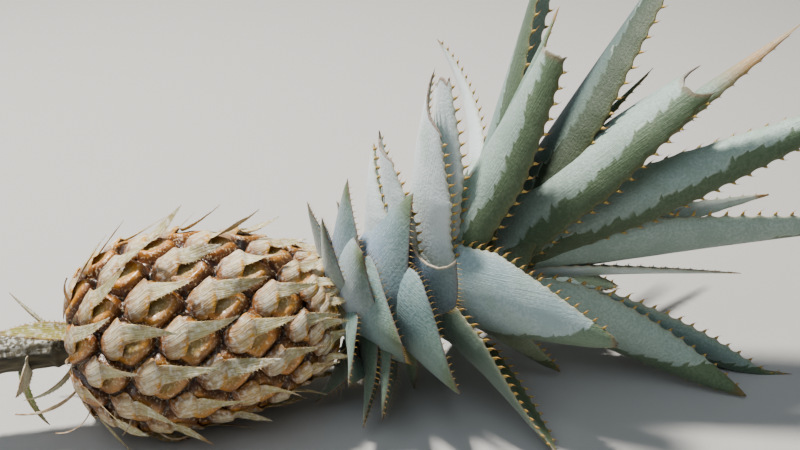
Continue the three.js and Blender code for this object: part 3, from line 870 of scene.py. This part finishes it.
# The border outside the print is partly the leaf's own greener border and partly painted shade on that
# flank.
colour = tinted(tree, calculate(tree, "MULTIPLY", border_and_shade, 0.9), colour, PRINT_BORDER_AND_SHADE, "MULTIPLY")
colour = tinted(tree, calculate(tree, "MULTIPLY", line, 0.4), colour, PRINT_LINE)
tree.links.new(colour, shader.inputs["Base Color"])
relief = calculate(tree, "MULTIPLY", calculate(tree, "ADD", streaks(tree, 3.0, 0.05, 2.0), meal), 0.4)
add_relief(tree, shader, calculate(tree, "ADD", relief, calculate(tree, "MULTIPLY", line, 0.2)), 0.6)

crown_scale_blades = finish_mesh(scales_mesh, "crown_scale_blades", bloomy)
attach(crown_scale_blades, "root")
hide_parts(*[f"crown_scale_{number:02d}" for number in range(1, 15)])

# Leaves of the crown: stiff channelled straps with a silvery bloom, some torn off short. The broad
# ones bear the print of a neighbour: a silvery middle inside a greener, jagged border, which is
# darkened further as painted shade on the flank it lies on.
LEAVES = [
    dict(rise=20, turn=336, length=52, width=42, lean=76, bend=-14, twist=-10, tint=PALE_PAINTED_LIGHT),
    dict(rise=26, turn=350, length=58, width=46, lean=70, bend=10, torn=(1, 0.8), tint=PALE_PAINTED_LIGHT),
    dict(rise=32, turn=132, length=86, width=44, lean=58, bend=13, twist=30, tint=GREEN),
    dict(rise=34, turn=101, length=90, width=58, lean=41, bend=0, torn=(0.97, 0.97), tint=BLUE),
    dict(rise=38, turn=358, length=84, width=50, lean=76, bend=-14, torn=(1, 0.72), tint=PALE_PAINTED_LIGHT),
    dict(
        rise=42, turn=11, length=138, width=42, lean=45, bend=16,
        torn=(0.74, 0.78), jag=0.012, tint=SAGE,
    ),
    dict(rise=40, turn=166, length=72, width=36, lean=48, bend=0, twist=-40, tint=OLIVE),
    dict(rise=42, turn=349, length=100, width=44, lean=64, bend=12, torn=(0.7, 0.78), tint=PALE_PAINTED_LIGHT),
    dict(rise=46, turn=4, length=117, width=16, lean=48, bend=8, tint=SAGE),
    dict(rise=46, turn=150, length=142, width=46, lean=28, bend=17, twist=-70, tint=SAGE),
    dict(rise=56, turn=304, length=116, width=30, lean=49, bend=50, tint=PALE_PAINTED_LIGHT),
    dict(rise=48, turn=161, length=169, width=46, lean=26, bend=18, twist=-50, tint=TEAL),
    # This leaf's teal is chosen darker than sage as painted shade.
    dict(rise=57, turn=339, length=166, width=42, lean=55, bend=0, twist=-40, tint=TEAL),
    dict(
        rise=60, turn=16, length=160, width=42, lean=31, bend=-10,
        torn=(0.77, 0.76, 0.06), jag=0.008, tint=SAGE,
    ),
    # This leaf takes the pale tint as painted light, lightening a leaf that stands in shade.
    dict(rise=56, turn=152, length=124, width=20, lean=12, bend=8, tint=PALE_PAINTED_LIGHT),
    # This leaf takes the very dark teal as painted shade.
    dict(rise=68, turn=344, length=180, width=48, lean=40, bend=-2, twist=-10, tint=PAINTED_SHADE_TEAL),
    dict(rise=60, turn=120, length=190, width=36, lean=9, bend=6, tint=SAGE),
    dict(rise=70, turn=20, length=152, width=20, lean=27, bend=2, dry=0.7, tint=SAGE),
    dict(rise=64, turn=46, length=187, width=29, lean=14, bend=6, tint=SAGE),
    dict(rise=64, turn=338, length=110, width=18, lean=26, bend=0, tint=SAGE),
    # This leaf takes the pale tint as painted light, lightening a leaf that stands in shade.
    dict(rise=68, turn=90, length=122, width=20, lean=6, bend=3, tint=PALE_PAINTED_LIGHT),
]
PRINT_INSET = 0.25
# The third of these is painted shade, laid on one flank of each leaf.
LEAF_INSIDE, LEAF_FOOT, LEAF_PAINTED_SHADE = (0.12, 0.2, 0.12), (0.4, 0.42, 0.3), (0.06, 0.085, 0.025)
LEAF_BORDER, LEAF_MARGIN = (0.16, 0.2, 0.035), (0.34, 0.17, 0.03)
DRY_TIP = (0.36, 0.2, 0.06)
TORN_RIM = (0.22, 0.15, 0.1)


def paint_leaf(blade, share, side, edge, swell):
    colour = blade["tint"] if swell > 0 else mix(blade["tint"], LEAF_INSIDE, 0.5)
    colour = mix(LEAF_FOOT, colour, ease(share / 0.2))
    # Painted shade: one flank is darkened, less on the pale leaves, as if turned from the light.
    colour = mix(colour, LEAF_PAINTED_SHADE, 0.75 * (1 - blade["tint"][1]) * ease((side - 0.05) / 0.8))
    colour = mix(colour, LEAF_BORDER, 0.55 * ease(1 - edge / 3.2))
    dry = blade.get("dry", 0.94)
    colour = mix(colour, DRY_TIP, ease((share - dry) / (1 - dry) / 0.6))
    colour = mix(colour, LEAF_MARGIN, 0.7 * ease(1 - edge / 0.9))
    if "torn" in blade:
        colour = mix(colour, TORN_RIM, ease((share / blade_end(blade, side) - 0.975) / 0.015))
    printed = blade["width"] > BROAD_LEAF and blade["tint"] != PALE_PAINTED_LIGHT
    return (*colour, PRINT_INSET * blade["width"] / PRINT_SCALE if printed else 0)


leaves = [crown_blade(shape, "leaf") for shape in LEAVES]
leaves_mesh = start_mesh()
for blade in leaves:
    grow_blade(leaves_mesh, blade, paint_leaf)

crown_leaf_blades = finish_mesh(leaves_mesh, "crown_leaf_blades", bloomy)
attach(crown_leaf_blades, "root")
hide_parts(*[f"crown_leaf_{number:02d}" for number in range(1, 22)])

# Far side of the crown: the same leaves dealt out by one rule, short and broad near the fruit,
# longer and steeper up the stem.
FAR_COUNT = 13
FAR_FIRST_TURN, FAR_ARC, FAR_STEP = 192, 100, 0.618
FAR_FIRST_RISE, FAR_LAST_RISE = 2, 62


def far_shape(number):
    share = number / (FAR_COUNT - 1)
    spread = (number * FAR_STEP) % 1
    kind = "scale" if share < 0.45 else "leaf"
    shape = dict(
        rise=FAR_FIRST_RISE + (FAR_LAST_RISE - FAR_FIRST_RISE) * share,
        turn=FAR_FIRST_TURN + FAR_ARC * spread,
        length=36 + 100 * share ** 1.6,
        width=34 + 8 * math.sin(math.pi * share) - 4 * share,
        lean=80 - 54 * share,
        bend=24 - 20 * share,
        tint=(SILVER, BLUE, TEAL)[number % 3],
    )
    return crown_blade(shape, kind)


far_blades = [far_shape(number) for number in range(FAR_COUNT)]
far_mesh = start_mesh()
for blade in far_blades:
    grow_blade(far_mesh, blade, paint_scale if blade["kind"] == "scale" else paint_leaf)

far_leaf_blades = finish_mesh(far_mesh, "far_leaf_blades", bloomy)
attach(far_leaf_blades, "root")
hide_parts(*[f"far_leaf_{number:02d}" for number in range(1, FAR_COUNT + 1)])

# Spines: orange hooked thorns along every margin, close and fine on the scales, wider apart on
# the leaves, and small teeth on the bracts. Each is a five-sided cone drawn forwards at its point.
THORN_SIDES = 5
SPINE_FOOT, SPINE_POINT = (0.46, 0.34, 0.08), (0.42, 0.15, 0.02)
TOOTH_FOOT, TOOTH_POINT = (0.66, 0.55, 0.3), (0.5, 0.26, 0.08)
SCALE_SPINE, BROAD_SPINE = (4.0, 0.26), (3.8, 0.95)
NARROW_SPINE, BRACT_SPINE = (2.2, 0.32), (1.2, 0.25)
FIRST_SPINE, LAST_SPINE = 0.1, 0.97
SPINE_ROOT, SPINE_HOOK, SPINE_FLATNESS = 0.1, 0.9, 0.6
TEETH, TOOTH_RADIUS = 10, 0.2
TOOTHED_FROM, TOOTHED_LENGTH = 0.45, 0.53
HORN_MOTTLE = (0.6, 0.42, 0.3, 1)


def thorn_shape(foot_tint, point_tint):
    mesh = start_mesh()
    bmesh.ops.create_cone(
        mesh, cap_ends=True, segments=THORN_SIDES, radius1=1, radius2=0.36, depth=0.5,
        matrix=Matrix.Translation((0, 0, 0.25)),
    )
    top = [face for face in mesh.faces if face.calc_center_median().z > 0.45]
    point = bmesh.ops.extrude_face_region(mesh, geom=top)
    tips = [part for part in point["geom"] if isinstance(part, bmesh.types.BMVert)]
    bmesh.ops.delete(mesh, geom=top, context="FACES")
    bmesh.ops.transform(mesh, matrix=Matrix.Translation((0, 0, 0.5)), verts=tips)
    bmesh.ops.pointmerge(mesh, verts=tips, merge_co=Vector((0, 0, 1)))
    tint = mesh.verts.layers.float_color["tint"]
    for vertex in mesh.verts:
        vertex[tint] = (*mix(foot_tint, point_tint, ease(vertex.co.z)), 0)
    bmesh.ops.recalc_face_normals(mesh, faces=mesh.faces)
    data = bpy.data.meshes.new("thorn_shape")
    mesh.to_mesh(data)
    mesh.free()
    return data


spine_shape = thorn_shape(SPINE_FOOT, SPINE_POINT)
tooth_shape = thorn_shape(TOOTH_FOOT, TOOTH_POINT)


def add_thorn(mesh, shape, place, share, side, inner_side, length, radius):
    foot = place(share, side)
    outwards = (foot - place(share, inner_side)).normalized()
    forwards = (place(share + 0.01, side) - foot).normalized()
    aside = outwards.cross(forwards).normalized()
    ahead = aside.cross(outwards)
    count = len(mesh.verts)
    mesh.from_mesh(shape)
    mesh.verts.ensure_lookup_table()
    for vertex in mesh.verts[count:]:
        rise = vertex.co.z
        offset = outwards * (rise - SPINE_ROOT - 0.2 * rise ** 2) * length
        offset += ahead * SPINE_HOOK * rise ** 2 * length
        offset += (aside * vertex.co.x * SPINE_FLATNESS + ahead * vertex.co.y) * radius
        vertex.co = above_ground(foot + offset * MM)


def add_part(mesh, part):
    data = bpy.data.meshes.new("part")
    part.to_mesh(data)
    part.free()
    mesh.from_mesh(data)
    bpy.data.meshes.remove(data)


def margin_thorns(mesh, blade, length, radius):
    def place(share, side):
        return blade_place(blade, share, side)[0]

    part = start_mesh()
    spacing = blade["pitch"] / blade["length"]
    for side in (-1, 1):
        last = min(LAST_SPINE, blade_end(blade, side) - 0.02)
        for number in range(math.ceil(FIRST_SPINE / spacing), math.floor(last / spacing) + 1):
            share = number * spacing
            edge = scalloped(blade, share, side)
            fullness = 0.5 + 0.5 * math.sin(math.pi * min(share + 0.15, 0.95))
            size = length * chance.uniform(0.75, 1.15) * fullness
            add_thorn(part, spine_shape, place, share, edge, edge * 0.9, size, radius)
    add_part(mesh, part)


def bract_teeth(mesh, bract):
    def place(share, side):
        return fruit_bract_place(bract, share, side)[0]

    part = start_mesh()
    for side in (-1, 1):
        for number in range(TEETH):
            share = TOOTHED_FROM + TOOTHED_LENGTH * (number + chance.uniform(0.2, 0.8)) / TEETH
            size = chance.uniform(0.7, 1.6)
            add_thorn(part, tooth_shape, place, share, side, side * 0.5, size, TOOTH_RADIUS)
    add_part(mesh, part)


thorn_mesh = start_mesh()
for blade in scales + leaves + far_blades:
    if blade["kind"] == "scale":
        margin_thorns(thorn_mesh, blade, *SCALE_SPINE)
    elif blade["width"] > BROAD_LEAF:
        margin_thorns(thorn_mesh, blade, *BROAD_SPINE)
    else:
        margin_thorns(thorn_mesh, blade, *NARROW_SPINE)
for blade in stalk_bracts:
    margin_thorns(thorn_mesh, blade, *BRACT_SPINE)
for bract in fruit_bracts:
    bract_teeth(thorn_mesh, bract)

horn, tree, shader = start_material("spine_horn", 0.5)
mottle = ramp(tree, grain(tree, 700, 3), 0.4, 0.65, 0, 0.5)
colour = read_attribute(tree, "tint").outputs["Color"]
colour = tinted(tree, mottle, colour, HORN_MOTTLE, "MULTIPLY")
tree.links.new(colour, shader.inputs["Base Color"])

leaf_spines = finish_mesh(thorn_mesh, "leaf_spines", horn)
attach(leaf_spines, "root")

# Floor and light: a plain pale floor, a warm high light from behind on the left, a broad cool one
# overhead, and an even pale surround.
FLOOR_SIZE = 6
FLOOR_TINT = (0.42, 0.405, 0.38, 1)
SURROUND_TINT, SURROUND_STRENGTH = (0.85, 0.92, 1, 1), 0.2
floor_mesh = bmesh.new()
bmesh.ops.create_grid(floor_mesh, x_segments=1, y_segments=1, size=FLOOR_SIZE / 2)
floor_data = bpy.data.meshes.new("floor")
floor_mesh.to_mesh(floor_data)
floor_mesh.free()
floor = bpy.data.objects.new("floor", floor_data)
bpy.context.scene.collection.objects.link(floor)
floor_data.materials.append(start_material("pale_floor", 0.9, Base_Color=FLOOR_TINT)[0])


def add_light(name, place, aim, size, power, colour):
    lamp = bpy.data.lights.new(name, "AREA")
    lamp.shape = "DISK"
    lamp.size = size
    lamp.energy = power
    lamp.color = colour
    light = bpy.data.objects.new(name, lamp)
    light.location = place
    light.rotation_mode = "QUATERNION"
    light.rotation_quaternion = (Vector(place) - Vector(aim)).to_track_quat("Z", "Y")
    bpy.context.scene.collection.objects.link(light)


add_light(
    "key_light", place=(-0.34, 0.4, 1.27), aim=(0.03, 0, 0.08), size=0.14, power=50,
    colour=(1, 0.97, 0.92),
)
add_light(
    "sky_light", place=(-0.7, -0.5, 1.5), aim=(0, 0, 0.08), size=1.4, power=11,
    colour=(0.76, 0.88, 1),
)
world = bpy.data.worlds.new("surround")
world.use_nodes = True
world.node_tree.nodes["Background"].inputs["Color"].default_value = SURROUND_TINT
world.node_tree.nodes["Background"].inputs["Strength"].default_value = SURROUND_STRENGTH
bpy.context.scene.world = world
